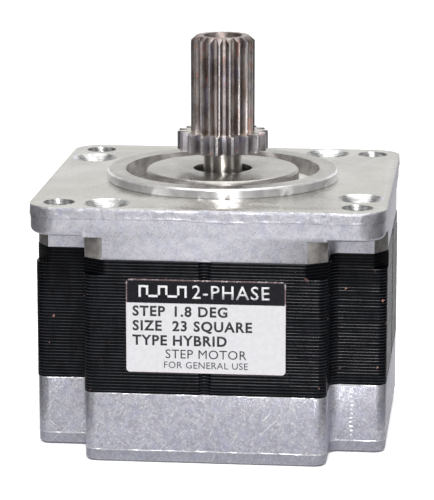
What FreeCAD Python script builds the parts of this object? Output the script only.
# NEMA 23 hybrid stepper motor with a two-step pinion on its shaft.
# Millimetres, +Z up along the shaft. The origin is the centre of the base, on the shaft axis.
import FreeCAD
import Part
import math
import os
import re
import Sketcher

Vector = FreeCAD.Vector

# Driving sizes, written to the spreadsheet. Heights (level_...) are measured from the base.
SIZES = {
    # outside of the motor
    "frame_half": 28.2,
    "frame_half_low": 28.1,
    "flange_corner": 4.6,
    "notch_half": 19.2,
    "register_radius": 32.4,
    "level_foot": 2.0,
    "level_rear_joint": 11.3,
    "level_register": 30.3,
    "level_front_joint": 32.8,
    "level_flange": 36.35,
    "level_parting": 39.35,
    "level_face": 41.0,
    "foot_inset": 0.15,
    "foot_chamfer": 0.5,
    "bell_corner": 2.0,
    "stack_corner": 1.5,
    "notch_fillet": 1.6,
    "flange_rounding": 1.0,
    # pilot, boss and shaft hole of the front bell
    "pilot_radius": 19.05,
    "pilot_height": 1.6,
    "pilot_chamfer": 0.3,
    "ring_inner": 16.0,
    "boss_radius": 12.6,
    "boss_chamfer": 0.35,
    "groove_depth": 1.15,
    "shaft_hole_radius": 4.85,
    # holes
    "mount_offset": 23.57,
    "mount_hole": 5.0,
    "screw_near": 15.85,
    "screw_far": 23.6,
    "screw_radius": 2.0,
    "screw_hole": 4.1,
    "sink_diameter": 7.5,
    "screw_tip_level": 37.0,
    "head_radius": 2.8,
    "head_thick": 2.4,
    "head_seat_level": 3.0,
    "head_well_radius": 2.95,
    "drive_length": 3.6,
    "drive_width": 0.8,
    "drive_depth": 1.3,
    # hollows of the bells
    "hollow_radius": 24.0,
    "front_hollow_roof": 38.2,
    "rear_hollow_floor": 2.4,
    "hub_radius": 12.4,
    "rear_hub_top": 9.8,
    # stator
    "bore_radius": 16.0,
    "tooth_depth": 0.9,
    "stator_tooth_pitch": 7.2,
    "stator_gap_half_angle": 2.1,
    "shoe_half_angle": 16.2,
    "shoe_tip_radius": 17.4,
    "shoe_back": 18.1,
    "neck_half": 2.75,
    "pole_angle": 45.0,
    "poles": 8,
    "key_radius": 1.15,
    "key_depth": 0.6,
    # winding frames and coils
    "frame_plate": 0.7,
    "frame_ring_outer": 23.85,
    "frame_ring_inner": 23.3,
    "frame_wall_inner": 16.9,
    "frame_wall_outer": 17.8,
    "frame_wall_height": 4.2,
    "frame_wall_half_angle": 15.0,
    "coil_inner": 18.5,
    "coil_outer": 22.3,
    "coil_half": 6.6,
    "coil_window_half": 3.0,
    "coil_overhang": 4.6,
    "coil_bend": 2.2,
    "coil_window_bend": 0.6,
    "frame_gap": 0.05,
    # rotor
    "rotor_radius": 15.9,
    "rotor_teeth": 50,
    "rotor_gap_half": 0.56,
    "rotor_slot_depth": 0.9,
    "half_pitch": 3.6,
    "magnet_radius": 14.6,
    "level_magnet_bottom": 20.8,
    "level_magnet_top": 23.3,
    "hub_bore": 4.21,
    # shaft
    "journal_radius": 3.175,
    "shaft_radius": 4.2,
    "level_shaft_bottom": 3.5,
    "level_shoulder_bottom": 9.96,
    "level_shoulder_top": 33.64,
    "level_shaft_top": 61.6,
    "shaft_chamfer": 0.4,
    # bearings, R4A size
    "bearing_outer": 9.525,
    "bearing_width": 7.142,
    "bearing_seat": 9.535,
    "bearing_bore": 3.185,
    "front_bearing_level": 33.66,
    "rear_bearing_level": 2.8,
    "rear_seat_level": 2.0,
    "ring_relief_radius": 7.4,
    "ring_relief_depth": 0.3,
    "inner_land": 5.2,
    "outer_land": 7.55,
    "pitch_radius": 6.35,
    "ball_radius": 1.5875,
    "race_radius": 1.63,
    "balls": 8,
    "cage_inner": 5.55,
    "cage_outer": 7.15,
    "cage_bottom": 2.4,
    "cage_top": 5.4,
    "cage_pocket": 1.66,
    "shield_inner": 5.5,
    "shield_outer": 7.53,
    "shield_thick": 0.3,
    "shield_inset": 0.35,
    "ring_chamfer": 0.3,
    # wave washer
    "washer_inner": 6.4,
    "washer_outer": 9.2,
    "washer_thick": 0.3,
    "washer_wave": 0.22,
    "washer_waves": 3,
    # pinion
    "lower_teeth": 18,
    "lower_module": 0.75,
    "lower_tip_radius": 7.45,
    "lower_root_radius": 5.85,
    "lower_tooth_angle": -71.7,
    "lower_chamfer": 0.15,
    "level_lower_gear": 45.8,
    "level_upper_gear": 48.85,
    "upper_teeth": 19,
    "upper_module": 0.5,
    "upper_tip_radius": 5.25,
    "upper_root_radius": 4.12,
    "upper_tooth_angle": -71.4,
    "upper_chamfer": 0.95,
    "upper_chamfer_height": 0.8,
    "level_pinion_top": 64.6,
    "pressure_angle": 25.0,
    "tooth_thinning": 0.03,
    # connector and terminal board
    "board_inner": 13.2,
    "board_outer": 23.3,
    "board_bottom": 4.0,
    "board_thick": 1.0,
    "header_half": 8.0,
    "header_inner": 23.5,
    "header_outer": 28.0,
    "header_bottom": 2.7,
    "header_top": 9.3,
    "header_wall": 0.8,
    "header_web": 1.0,
    "window_gap": 0.05,
    "pin_pitch": 2.0,
    "pins": 6,
    "pin_half": 0.25,
    "pin_outer": 27.4,
    "pin_level": 5.65,
    "pin_leg": 21.4,
    "pin_foot_level": 3.2,
    "pin_hole_radius": 0.45,
    # label
    "label_left": -12.35,
    "label_right": 12.8,
    "label_bottom": 14.9,
    "label_top": 29.9,
    "label_thick": 0.12,
    "label_corner": 0.6,
}

doc = FreeCAD.newDocument("stepper_motor")
sheet = doc.addObject("Spreadsheet::Sheet", "Sizes")
for row, (alias, size) in enumerate(SIZES.items(), start=1):
    sheet.set(f"A{row}", alias)
    sheet.set(f"B{row}", str(size))
    sheet.setAlias(f"B{row}", alias)
doc.recompute()


# ---- helpers ----

def formula(text):
    """A short formula of size names, as an expression that reads the spreadsheet."""
    def cell(match):
        word = match.group(0)
        return f"Sizes.{word}" if word in SIZES else word
    return re.sub(r"[a-z]\w*", cell, str(text))


def new_body(label):
    body = doc.addObject("PartDesign::Body", label)
    body.Label = label
    return body


def origin_part(body, role):
    """One of the body's own origin planes or axes."""
    return next(feature for feature in body.Origin.OriginFeatures if feature.Role == role)


def polar(radius, angle):
    """A corner given by its distance from the axis and its angle in degrees."""
    return f"({radius}) * cos({angle})", f"({radius}) * sin({angle})"


def across(corner, angle):
    """The same corner mirrored in a line through the axis at half of the angle."""
    x, y = corner[0], corner[1]
    mirrored = (
        f"({x}) * cos({angle}) + ({y}) * sin({angle})",
        f"({x}) * sin({angle}) - ({y}) * cos({angle})",
    )
    return mirrored + tuple(corner[2:])


def rectangle(left, bottom, right, top):
    return [(left, bottom), (right, bottom), (right, top), (left, top)]


def square(half):
    return rectangle(f"-({half})", f"-({half})", half, half)


def draw_circle(sketch, x, y, radius):
    place = [sketch.evalExpression(formula(item)) for item in (x, y, radius)]
    edge = sketch.addGeometry(Part.Circle(Vector(place[0], place[1], 0), Vector(0, 0, 1), place[2]))
    for kind, item, start in (("DistanceX", x, place[0]), ("DistanceY", y, place[1])):
        number = sketch.addConstraint(Sketcher.Constraint(kind, -1, 1, edge, 3, start))
        sketch.setExpression(f"Constraints[{number}]", formula(item))
    number = sketch.addConstraint(Sketcher.Constraint("Radius", edge, place[2]))
    sketch.setExpression(f"Constraints[{number}]", formula(radius))


def draw_loop(sketch, corners):
    """A closed outline. A corner with a third value starts an arc of that radius round the axis."""
    places = []
    for corner in corners:
        places.append(Vector(*[sketch.evalExpression(formula(item)) for item in corner[:2]], 0))
    ends = []
    for index, corner in enumerate(corners):
        start = places[index]
        finish = places[(index + 1) % len(places)]
        if len(corner) == 3:
            radius = sketch.evalExpression(formula(corner[2]))
            middle = Vector(start + finish).normalize() * radius
            edge = sketch.addGeometry(Part.Arc(start, middle, finish))
            number = sketch.addConstraint(Sketcher.Constraint("Radius", edge, radius))
            sketch.setExpression(f"Constraints[{number}]", formula(corner[2]))
        else:
            edge = sketch.addGeometry(Part.LineSegment(start, finish))
        forward = sketch.getPoint(edge, 1).distanceToPoint(start) < 1e-6
        ends.append((edge, 1, 2) if forward else (edge, 2, 1))
    for index, (edge, start, finish) in enumerate(ends):
        following = ends[(index + 1) % len(ends)]
        sketch.addConstraint(Sketcher.Constraint("Coincident", edge, finish, following[0], following[1]))
        for kind, item, size in zip(("DistanceX", "DistanceY"), corners[index], places[index]):
            number = sketch.addConstraint(Sketcher.Constraint(kind, -1, 1, edge, start, size))
            sketch.setExpression(f"Constraints[{number}]", formula(item))


def new_sketch(body, name, plane, lift, loops):
    """A sketch parallel to an origin plane. A loop is a list of corners, or a circle (x, y, r)."""
    sketch = body.newObject("Sketcher::SketchObject", name)
    sketch.AttachmentSupport = [(origin_part(body, plane), "")]
    sketch.MapMode = "FlatFace"
    sketch.setExpression("AttachmentOffset.Base.z", formula(lift))
    for loop in loops:
        if isinstance(loop, tuple):
            draw_circle(sketch, *loop)
        else:
            draw_loop(sketch, loop)
    return sketch


def add(body, name, loops, bottom, top, plane="XY_Plane"):
    """Material between two levels along the plane's normal."""
    pad = body.newObject("PartDesign::Pad", name)
    pad.Profile = new_sketch(body, f"{name}_outline", plane, bottom, loops)
    pad.setExpression("Length", formula(f"({top}) - ({bottom})"))
    return pad


def cut(body, name, loops, bottom, top, plane="XY_Plane"):
    """Material removed between two levels along the plane's normal."""
    pocket = body.newObject("PartDesign::Pocket", name)
    pocket.Profile = new_sketch(body, f"{name}_outline", plane, top, loops)
    pocket.setExpression("Length", formula(f"({top}) - ({bottom})"))
    return pocket


def turn(body, name, loops, kind="PartDesign::Revolution"):
    """A profile of (radius, level) corners turned round the shaft axis."""
    feature = body.newObject(kind, name)
    sketch = new_sketch(body, f"{name}_profile", "XZ_Plane", 0, loops)
    feature.Profile = sketch
    feature.ReferenceAxis = (sketch, ["V_Axis"])
    feature.Angle = 360
    return feature


def repeat_round(body, features, count):
    """Copies of the features, spread evenly round the shaft axis."""
    pattern = body.newObject("PartDesign::PolarPattern", f"{features[0].Name}_ring")
    pattern.Originals = features
    pattern.Axis = (origin_part(body, "Z_Axis"), [""])
    pattern.Angle = 360
    pattern.setExpression("Occurrences", formula(count))
    body.Tip = pattern
    doc.recompute()
    return pattern


def dress(body, kind, name, size, chosen):
    """A fillet or chamfer on those edges of the body's shape that the test chooses."""
    doc.recompute()
    base = body.Tip
    names = [f"Edge{i}" for i, edge in enumerate(base.Shape.Edges, start=1) if chosen(edge)]
    feature = body.newObject(kind, name)
    feature.Base = (base, names)
    feature.setExpression("Radius" if kind == "PartDesign::Fillet" else "Size", formula(size))
    doc.recompute()
    return feature


def fillet(body, name, size, chosen):
    return dress(body, "PartDesign::Fillet", name, size, chosen)


def chamfer(body, name, size, chosen):
    return dress(body, "PartDesign::Chamfer", name, size, chosen)


def is_upright(edge):
    along = edge.tangentAt(edge.FirstParameter)
    return abs(along.z) > 0.999


def is_circle_at(radius, level):
    """A test for the full circle round the shaft axis with this radius at this level."""
    def test(edge):
        curve = edge.Curve
        if not isinstance(curve, Part.Circle):
            return False
        at_level = abs(curve.Center.z - level) < 1e-3
        return at_level and abs(curve.Radius - radius) < 1e-3
    return test


def notched_square(half):
    """The frame's outline behind the flange: a square with its four corners cut away."""
    notch = "notch_half"
    quarter = [(half, notch), (notch, notch), (notch, half)]
    second = [(f"-{y}", x) for x, y in quarter]
    third = [(f"-{x}", f"-{y}") for x, y in quarter]
    fourth = [(y, f"-{x}") for x, y in quarter]
    return quarter + second + third + fourth


def screw_centres():
    """The four assembly screws, each a quarter turn from the last."""
    near, far = "screw_near", "screw_far"
    return [(f"-{near}", f"-{far}"), (far, f"-{near}"), (near, far), (f"-{far}", near)]


def mount_centres():
    offset = "mount_offset"
    return [(f"{sx}{offset}", f"{sy}{offset}") for sx in ("-", "") for sy in ("-", "")]


def round_frame_corners(body, outer, inner):
    """Fillets on the outer and inner upright edges of the corner notches."""
    reach = SIZES["notch_half"] + 0.5

    def is_outer(edge):
        middle = edge.CenterOfMass
        return is_upright(edge) and max(abs(middle.x), abs(middle.y)) > reach

    def is_inner(edge):
        middle = edge.CenterOfMass
        return is_upright(edge) and max(abs(middle.x), abs(middle.y)) < reach

    fillet(body, "notch_outer_rounding", outer, is_outer)
    fillet(body, "notch_inner_rounding", inner, is_inner)


def turn_register(body, bottom, top):
    """The outside turned to the register circle between two levels."""
    outside = [square("register_radius + 2"), ("0", "0", "register_radius")]
    cut(body, "register", outside, bottom, top)


# ---- stationary pieces ----

def make_front_bell():
    body = new_body("front_bell")
    add(body, "flange", [square("frame_half_low")], "level_flange", "level_parting")
    fillet(body, "flange_corners", "flange_corner - 0.1", is_upright)
    low = SIZES["level_flange"] + 1e-3
    fillet(body, "flange_rounding", "flange_rounding", lambda edge: edge.BoundBox.ZMax < low)
    add(body, "skirt", [notched_square("frame_half_low")], "level_front_joint", "level_parting")
    reach = SIZES["notch_half"] + 1e-3

    def is_notch_corner(edge):
        middle = edge.CenterOfMass
        return is_upright(edge) and max(abs(middle.x), abs(middle.y)) < reach

    fillet(body, "notch_rounding", "notch_fillet", is_notch_corner)
    turn_register(body, "level_front_joint", "level_flange")
    add(body, "upper_band", [square("frame_half")], "level_parting", "level_face")
    above = SIZES["level_parting"] + 1e-3
    fillet(
        body, "band_corners", "flange_corner",
        lambda edge: is_upright(edge) and edge.BoundBox.ZMax > above,
    )
    add(body, "pilot", [("0", "0", "pilot_radius")], "level_face", "level_face + pilot_height")
    groove = [("0", "0", "ring_inner"), ("0", "0", "boss_radius")]
    cut(body, "groove", groove, "level_face - groove_depth", "level_face + pilot_height")
    cut(
        body, "hollow", [("0", "0", "hollow_radius"), ("0", "0", "hub_radius")],
        "level_front_joint", "front_hollow_roof",
    )
    cut(
        body, "hub_face", [("0", "0", "hub_radius + 0.5")],
        "level_front_joint", "front_bearing_level - 0.06",
    )
    cut(
        body, "bearing_seat", [("0", "0", "bearing_seat")],
        "level_front_joint", "front_bearing_level + bearing_width",
    )
    # keeps the turning inner ring off the shoulder, which holds only the outer ring
    cut(
        body, "ring_relief", [("0", "0", "ring_relief_radius")],
        "level_front_joint", "front_bearing_level + bearing_width + ring_relief_depth",
    )
    cut(
        body, "shaft_hole", [("0", "0", "shaft_hole_radius")],
        "level_front_joint", "level_face + pilot_height",
    )
    pilot_top = SIZES["level_face"] + SIZES["pilot_height"]
    chamfer(body, "pilot_edge", "pilot_chamfer", is_circle_at(SIZES["pilot_radius"], pilot_top))
    chamfer(body, "boss_edge", "boss_chamfer", is_circle_at(SIZES["boss_radius"], pilot_top))
    mounts = [(x, y, "mount_hole / 2") for x, y in mount_centres()]
    cut(body, "mounting_holes", mounts, "level_flange - 1", "level_face")
    add_countersinks(body)
    return body


def add_countersinks(body):
    """Tapped holes for the assembly screws, countersunk where they reach the mounting face."""
    circles = [(x, y, "screw_hole / 2") for x, y in screw_centres()]
    sketch = new_sketch(body, "screw_hole_centres", "XY_Plane", "level_face", circles)
    doc.recompute()
    hole = body.newObject("PartDesign::Hole", "screw_holes")
    hole.Profile = sketch
    hole.DepthType = "ThroughAll"
    hole.setExpression("Diameter", formula("screw_hole"))
    hole.HoleCutType = "Countersink"
    hole.HoleCutCustomValues = True
    hole.HoleCutCountersinkAngle = 90
    hole.setExpression("HoleCutDiameter", formula("sink_diameter"))
    doc.recompute()


def make_rear_bell():
    body = new_body("rear_bell")
    add(body, "wall", [notched_square("frame_half")], "0", "level_rear_joint")
    round_frame_corners(body, "bell_corner", "notch_fillet")
    chamfer(body, "foot_edge", "foot_chamfer", lambda edge: edge.BoundBox.ZMax < 1e-3)
    foot_trim = [square("frame_half + 3"), square("frame_half - foot_inset")]
    cut(body, "foot_trim", foot_trim, "0", "level_foot")
    cut(
        body, "hollow", [("0", "0", "hollow_radius"), ("0", "0", "hub_radius")],
        "rear_hollow_floor", "level_rear_joint",
    )
    cut(body, "hub_face", [("0", "0", "hub_radius + 0.5")], "rear_hub_top", "level_rear_joint")
    cut(body, "bearing_seat", [("0", "0", "bearing_seat")], "rear_seat_level", "rear_hub_top")
    wells = [(x, y, "head_well_radius") for x, y in screw_centres()]
    cut(body, "head_wells", wells, "0", "head_seat_level")
    shanks = [(x, y, "screw_hole / 2") for x, y in screw_centres()]
    cut(body, "screw_holes", shanks, "0", "level_rear_joint")
    side = "header_half + window_gap"
    window = rectangle(f"-({side})", "header_inner - window_gap", side, "frame_half + 1")
    cut(body, "window", [window], "header_bottom - window_gap", "header_top + window_gap")
    return body


def make_stator_stack():
    body = new_body("stator_stack")
    add(body, "stack", [notched_square("frame_half")], "level_rear_joint", "level_front_joint")
    round_frame_corners(body, "stack_corner", "notch_fillet")
    turn_register(body, "level_register", "level_front_joint")
    cut_stack(body, "bore", [("0", "0", "bore_radius")])
    slot = cut_stack(body, "slot", [slot_outline()])
    gaps = cut_stack(body, "tooth_gaps", [gap_outline(step) for step in (-1.5, -0.5, 0.5, 1.5)])
    repeat_round(body, [slot, gaps], "poles")
    cut_stack(body, "screw_holes", [(x, y, "screw_hole / 2") for x, y in screw_centres()])
    key = ("0", "-(frame_half + key_radius - key_depth)", "key_radius")
    groove = cut_stack(body, "key_groove", [key])
    repeat_round(body, [groove], "4")
    return body


def cut_stack(body, name, loops):
    return cut(body, name, loops, "level_rear_joint", "level_front_joint")


def slot_outline():
    """The winding slot between the pole on the X axis and the next one."""
    lower = [
        polar("bore_radius - 0.5", "shoe_half_angle"),
        polar("shoe_tip_radius", "shoe_half_angle"),
        ("shoe_back", "neck_half"),
        ("sqrt(hollow_radius^2 - neck_half^2)", "neck_half"),
    ]
    upper = [across(corner, "pole_angle") for corner in reversed(lower)]
    lower[-1] = lower[-1] + ("hollow_radius",)
    return lower + upper


def gap_outline(step):
    """One gap between the teeth of the pole on the X axis, some tooth pitches from its middle."""
    first = f"{step} * stator_tooth_pitch - stator_gap_half_angle"
    last = f"{step} * stator_tooth_pitch + stator_gap_half_angle"
    inner = "bore_radius - 0.5"
    outer = "bore_radius + tooth_depth"
    return [polar(inner, first), polar(outer, first), polar(outer, last), polar(inner, last)]


def make_insulator(label, joint, direction):
    """A winding frame on one end of the stack; direction is + for the front end, - for the rear."""
    body = new_body(label)

    def level(height):
        return f"{joint} {direction} ({height})"

    def raised(name, loops, height):
        bottom, top = (level("0"), level(height)) if direction == "+" else (level(height), level("0"))
        return add(body, name, loops, bottom, top)

    rings = [("0", "0", "frame_ring_outer"), ("0", "0", "frame_ring_inner")]
    raised("rim", rings, "frame_plate + 1.2")
    outer = "frame_ring_inner + 0.2"
    neck = rectangle("frame_wall_inner + 0.3", "-neck_half", outer, "neck_half")
    arm = raised("arm", [neck], "frame_plate")
    half = "frame_wall_half_angle"
    wall_outline = [
        polar("frame_wall_inner", f"-{half}") + ("frame_wall_inner",),
        polar("frame_wall_inner", half),
        polar("frame_wall_outer", half) + ("frame_wall_outer",),
        polar("frame_wall_outer", f"-{half}"),
    ]
    wall = raised("wall", [wall_outline], "frame_wall_height")
    repeat_round(body, [arm, wall], "poles")
    return body


def make_coils(label, angle):
    """Four coils on every second pole, from the given angle on."""
    body = new_body(label)
    under = "frame_plate + frame_gap"
    window = rectangle(
        "-coil_window_half", f"level_rear_joint - ({under})",
        "coil_window_half", f"level_front_joint + ({under})",
    )
    outside = rectangle(
        "-coil_half", "level_rear_joint - coil_overhang",
        "coil_half", "level_front_joint + coil_overhang",
    )
    coil = add(body, "coil", [outside, window], "coil_inner", "coil_outer", "YZ_Plane")

    def is_corner(half):
        return lambda edge: (
            abs(edge.tangentAt(edge.FirstParameter).x) > 0.999
            and abs(abs(edge.CenterOfMass.y) - half) < 1e-3
        )

    bend = fillet(body, "bend", "coil_bend", is_corner(SIZES["coil_half"]))
    inner = fillet(body, "inner_bend", "coil_window_bend", is_corner(SIZES["coil_window_half"]))
    repeat_round(body, [coil, bend, inner], "4")
    body.Placement = FreeCAD.Placement(Vector(), FreeCAD.Rotation(Vector(0, 0, 1), angle))
    return body


def make_terminal_board():
    body = new_body("terminal_board")
    holes = [(x, "pin_leg", "pin_hole_radius") for x in pin_places()]
    outline = [("0", "0", "board_outer"), ("0", "0", "board_inner")] + holes
    add(body, "board", outline, "board_bottom", "board_bottom + board_thick")
    return body


def pin_places():
    """The x of each connector pin."""
    return [f"({number} - (pins - 1) / 2) * pin_pitch" for number in range(SIZES["pins"])]


def make_connector_housing():
    body = new_body("connector_housing")
    block = rectangle("-header_half", "header_inner", "header_half", "header_outer")
    add(body, "block", [block], "header_bottom", "header_top")
    wall = "header_half - header_wall"
    recess = rectangle(f"-({wall})", "header_inner + header_web", wall, "header_outer + 1")
    cut(body, "recess", [recess], "header_bottom + header_wall", "header_top - header_wall")
    slots = [
        rectangle(f"{x} - pin_half", "header_inner - 1", f"{x} + pin_half", "header_outer - 1")
        for x in pin_places()
    ]
    cut(body, "pin_slots", slots, "pin_level - pin_half", "pin_level + pin_half")
    key = rectangle("-1.5", "header_outer - 2.5", "1.5", "header_outer + 1")
    cut(body, "latch_notch", [key], "header_top - 2 * header_wall", "header_top + 1")
    return body


def make_connector_pins():
    body = new_body("connector_pins")
    for number, x in enumerate(pin_places()):
        low, high = f"{x} - pin_half", f"{x} + pin_half"
        blade = rectangle(low, "pin_leg - pin_half", high, "pin_outer")
        add(body, f"blade_{number}", [blade], "pin_level - pin_half", "pin_level + pin_half")
        leg = rectangle(low, "pin_leg - pin_half", high, "pin_leg + pin_half")
        add(body, f"leg_{number}", [leg], "pin_foot_level", "pin_level + pin_half")
    return body


def make_assembly_screws():
    body = new_body("assembly_screws")
    centres = screw_centres()
    head_bottom = "head_seat_level - head_thick"
    heads = [(x, y, "head_radius") for x, y in centres]
    shanks = [(x, y, "screw_radius") for x, y in centres]
    add(body, "heads", heads, head_bottom, "head_seat_level")
    add(body, "shanks", shanks, "head_seat_level - 0.5", "screw_tip_level")
    tip = SIZES["screw_tip_level"]
    chamfer(body, "tips", "screw_radius * 0.3", lambda edge: edge.BoundBox.ZMin > tip - 1e-3)
    low = SIZES["head_seat_level"] - SIZES["head_thick"] + 1e-3
    fillet(body, "head_rounding", "head_thick * 0.4", lambda edge: edge.BoundBox.ZMax < low)
    long, wide = "drive_length / 2", "drive_width / 2"
    for name, half_x, half_y in (("drive_one", long, wide), ("drive_two", wide, long)):
        bars = [
            rectangle(f"{x} - {half_x}", f"{y} - {half_y}", f"{x} + {half_x}", f"{y} + {half_y}")
            for x, y in centres
        ]
        cut(body, name, bars, head_bottom, f"{head_bottom} + drive_depth")
    return body


def make_data_label():
    body = new_body("data_label")
    sheet_outline = rectangle("label_left", "label_bottom", "label_right", "label_top")
    add(body, "sheet", [sheet_outline], "frame_half", "frame_half + label_thick", "XZ_Plane")
    fillet(
        body, "label_corners", "label_corner",
        lambda edge: abs(edge.tangentAt(edge.FirstParameter).y) > 0.999,
    )
    return body


# ---- bearings ----

def make_ring(label, level, bore, outside):
    """One bearing ring with its ball groove, built from its own lower face."""
    body = new_body(label)
    turn(body, "ring", [rectangle(bore, "0", outside, "bearing_width")])
    ends = (0.0, SIZES["bearing_width"])
    radii = (SIZES[bore], SIZES[outside])

    def is_end_edge(edge):
        return any(is_circle_at(radius, end)(edge) for radius in radii for end in ends)

    chamfer(body, "edges", "ring_chamfer / 2", is_end_edge)
    groove = [("pitch_radius", "bearing_width / 2", "race_radius")]
    turn(body, "groove", groove, "PartDesign::Groove")
    body.setExpression("Placement.Base.z", formula(level))
    return body


def make_balls(label, level):
    body = new_body(label)
    ball = add_sphere(body, "PartDesign::AdditiveSphere", "ball", "ball_radius")
    repeat_round(body, [ball], "balls")
    body.setExpression("Placement.Base.z", formula(level))
    return body


def make_cage(label, level):
    body = new_body(label)
    turn(body, "band", [rectangle("cage_inner", "cage_bottom", "cage_outer", "cage_top")])
    pocket = add_sphere(body, "PartDesign::SubtractiveSphere", "pocket", "cage_pocket")
    repeat_round(body, [pocket], "balls")
    body.setExpression("Placement.Base.z", formula(level))
    return body


def add_sphere(body, kind, name, radius):
    """A sphere on the ball circle, at the bearing's mid height."""
    sphere = body.newObject(kind, name)
    sphere.AttachmentSupport = [(origin_part(body, "XY_Plane"), "")]
    sphere.MapMode = "FlatFace"
    sphere.setExpression("Radius", formula(radius))
    sphere.setExpression("AttachmentOffset.Base.x", formula("pitch_radius"))
    sphere.setExpression("AttachmentOffset.Base.z", formula("bearing_width / 2"))
    doc.recompute()
    return sphere


def make_bearing_shields():
    body = new_body("bearing_shields")
    loops = [("0", "0", "shield_outer"), ("0", "0", "shield_inner")]
    for name, level in (("front", "front_bearing_level"), ("rear", "rear_bearing_level")):
        low = f"{level} + shield_inset"
        high = f"{level} + bearing_width - shield_inset - shield_thick"
        add(body, f"{name}_low", loops, low, f"{low} + shield_thick")
        add(body, f"{name}_high", loops, high, f"{high} + shield_thick")
    return body


def make_wave_washer():
    """A flat ring bent into waves, as thick as its strip."""
    read = sheet.get
    middle = float(read("rear_seat_level")) + float(read("washer_wave"))
    wave = float(read("washer_wave"))
    waves = int(read("washer_waves"))
    points = 8 * waves

    def edge(radius):
        corners = []
        for number in range(points):
            angle = 2 * math.pi * number / points
            rise = wave * math.cos(waves * angle)
            corners.append(Vector(radius * math.cos(angle), radius * math.sin(angle), middle + rise))
        curve = Part.BSplineCurve()
        curve.interpolate(corners, PeriodicFlag=True)
        return curve.toShape()

    strip = Part.makeRuledSurface(edge(float(read("washer_inner"))), edge(float(read("washer_outer"))))
    washer = doc.addObject("Part::Feature", "wave_washer")
    washer.Label = "wave_washer"
    washer.Shape = strip.extrude(Vector(0, 0, float(read("washer_thick"))))
    return washer


# ---- turning pieces ----

def make_shaft():
    body = new_body("shaft")
    profile = [
        ("0", "level_shaft_bottom"), ("journal_radius", "level_shaft_bottom"),
        ("journal_radius", "level_shoulder_bottom"), ("shaft_radius", "level_shoulder_bottom"),
        ("shaft_radius", "level_shoulder_top"), ("journal_radius", "level_shoulder_top"),
        ("journal_radius", "level_shaft_top"), ("0", "level_shaft_top"),
    ]
    turn(body, "bar", [profile])
    ends = (SIZES["level_shaft_bottom"], SIZES["level_shaft_top"])
    radius = SIZES["journal_radius"]
    chamfer(
        body, "ends", "shaft_chamfer",
        lambda edge: any(is_circle_at(radius, end)(edge) for end in ends),
    )
    return body


def make_rotor_cup(label, bottom, top, angle):
    """A toothed rotor section. The two sections are half a tooth pitch apart."""
    body = new_body(label)
    add(body, "disc", [("0", "0", "rotor_radius"), ("0", "0", "hub_bore")], bottom, top)
    inner, outer = "rotor_radius - rotor_slot_depth", "rotor_radius + 0.5"
    gap = rectangle(inner, "-rotor_gap_half", outer, "rotor_gap_half")
    slot = cut(body, "tooth_gap", [gap], bottom, top)
    repeat_round(body, [slot], "rotor_teeth")
    body.setExpression("Placement.Rotation.Angle", formula(angle))
    return body


def make_rotor_magnet():
    body = new_body("rotor_magnet")
    loops = [("0", "0", "magnet_radius"), ("0", "0", "hub_bore")]
    add(body, "disc", loops, "level_magnet_bottom", "level_magnet_top")
    return body


def gear_outline(teeth, module, tip, root, first_angle, pressure, thinning):
    """The closed outline of an involute gear, with a tooth centred on the first angle.
    The thinning is taken off each flank at the pitch circle, for backlash."""
    pitch = teeth * module / 2
    base = pitch * math.cos(pressure)

    def involute(angle):
        return math.tan(angle) - angle

    def half_width(radius):
        """Half of the tooth's angle at this radius."""
        at_pitch = math.pi / (2 * teeth) + involute(pressure) - thinning / pitch
        return at_pitch - involute(math.acos(min(1.0, base / radius)))

    def place(radius, angle):
        return Vector(radius * math.cos(angle), radius * math.sin(angle), 0)

    flank_start = max(base, root)
    radii = [flank_start + (tip - flank_start) * step / 5 for step in range(6)]
    edges = []
    for tooth in range(teeth):
        centre = math.radians(first_angle) + 2 * math.pi * tooth / teeth
        following = centre + 2 * math.pi / teeth
        foot = half_width(flank_start)
        rising = [place(radius, centre - half_width(radius)) for radius in radii]
        falling = [place(radius, centre + half_width(radius)) for radius in reversed(radii)]
        for flank in (rising, falling):
            curve = Part.BSplineCurve()
            curve.interpolate(flank)
            if flank is rising:
                edges.append(Part.LineSegment(place(root, centre - foot), rising[0]).toShape())
                edges.append(curve.toShape())
                edges.append(Part.Arc(rising[-1], place(tip, centre), falling[0]).toShape())
            else:
                edges.append(curve.toShape())
                edges.append(Part.LineSegment(falling[-1], place(root, centre + foot)).toShape())
        valley = place(root, (centre + following) / 2)
        edges.append(Part.Arc(place(root, centre + foot), valley, place(root, following - foot)).toShape())
    return Part.Wire(edges)


def gear_step(name, bottom, top, blank):
    """One toothed step of the pinion, cut to its turned blank of (radius, level) corners."""
    size = {key: float(sheet.get(f"{name}_{key}")) for key in (
        "teeth", "module", "tip_radius", "root_radius", "tooth_angle",
    )}
    outline = gear_outline(
        int(size["teeth"]), size["module"], size["tip_radius"], size["root_radius"], size["tooth_angle"],
        math.radians(float(sheet.get("pressure_angle"))), float(sheet.get("tooth_thinning")),
    )
    outline.translate(Vector(0, 0, bottom))
    toothed = Part.Face(outline).extrude(Vector(0, 0, top - bottom))
    corners = [Vector(radius, 0, level) for radius, level in blank]
    profile = Part.Face(Part.makePolygon(corners + corners[:1]))
    return toothed.common(profile.revolve(Vector(), Vector(0, 0, 1), 360))


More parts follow.
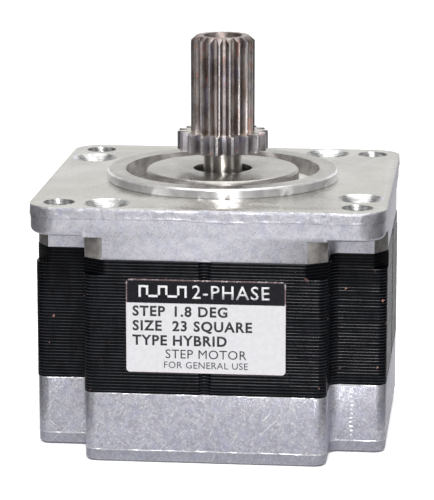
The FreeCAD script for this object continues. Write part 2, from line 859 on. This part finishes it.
def make_cluster_pinion():
    """Both toothed steps are one piece, bored for the shaft."""
    low, step, top = (
        float(sheet.get(name)) for name in ("level_lower_gear", "level_upper_gear", "level_pinion_top")
    )
    wide = float(sheet.get("lower_tip_radius")) + 0.01
    narrow = float(sheet.get("upper_tip_radius")) + 0.01
    low_edge = float(sheet.get("lower_chamfer"))
    top_edge = float(sheet.get("upper_chamfer"))
    top_fall = float(sheet.get("upper_chamfer_height"))
    lower_blank = [
        (0, low), (wide - low_edge, low), (wide, low + low_edge),
        (wide, step - low_edge), (wide - low_edge, step), (0, step),
    ]
    upper_blank = [
        (0, step - 0.5), (narrow, step - 0.5), (narrow, top - top_fall),
        (narrow - top_edge, top), (0, top),
    ]
    lower = gear_step("lower", low, step, lower_blank)
    upper = gear_step("upper", step - 0.5, top, upper_blank)
    bore = Part.makeCylinder(float(sheet.get("bearing_bore")), top - low + 2, Vector(0, 0, low - 1))
    pinion = doc.addObject("Part::Feature", "cluster_pinion")
    pinion.Label = "cluster_pinion"
    pinion.Shape = lower.fuse(upper).removeSplitter().cut(bore)
    return pinion


# ---- build, check and write ----

pieces = [
    make_front_bell(),
    make_stator_stack(),
    make_rear_bell(),
    make_data_label(),
    make_assembly_screws(),
    make_insulator("front_insulator", "level_front_joint", "+"),
    make_insulator("rear_insulator", "level_rear_joint", "-"),
    make_coils("phase_a_coils", 0),
    make_coils("phase_b_coils", SIZES["pole_angle"]),
    make_terminal_board(),
    make_connector_housing(),
    make_connector_pins(),
    make_ring("front_outer_ring", "front_bearing_level", "outer_land", "bearing_outer"),
    make_ring("rear_outer_ring", "rear_bearing_level", "outer_land", "bearing_outer"),
    make_bearing_shields(),
    make_wave_washer(),
    make_shaft(),
    make_cluster_pinion(),
    make_rotor_cup("rotor_cup_front", "level_magnet_top", "level_front_joint", "0"),
    make_rotor_cup("rotor_cup_rear", "level_rear_joint", "level_magnet_bottom", "half_pitch"),
    make_rotor_magnet(),
    make_ring("front_inner_ring", "front_bearing_level", "bearing_bore", "inner_land"),
    make_ring("rear_inner_ring", "rear_bearing_level", "bearing_bore", "inner_land"),
    make_cage("front_bearing_cage", "front_bearing_level"),
    make_balls("front_bearing_balls", "front_bearing_level"),
    make_cage("rear_bearing_cage", "rear_bearing_level"),
    make_balls("rear_bearing_balls", "rear_bearing_level"),
]
doc.recompute()

for item in doc.Objects:
    if "Invalid" in item.State or "Error" in item.State:
        raise RuntimeError(f"{item.Label} did not compute: {item.State}")

os.makedirs("parts", exist_ok=True)
for piece in pieces:
    if piece.Shape.isNull() or not piece.Shape.isValid():
        raise RuntimeError(f"{piece.Label} has no valid shape")
    piece.Shape.exportStep(f"parts/{piece.Label}.step")
    box = piece.Shape.BoundBox
    print(
        f"{piece.Label}: {len(piece.Shape.Solids)} solids, {piece.Shape.Volume:.1f} mm3, "
        f"z {box.ZMin:.2f} to {box.ZMax:.2f}"
    )
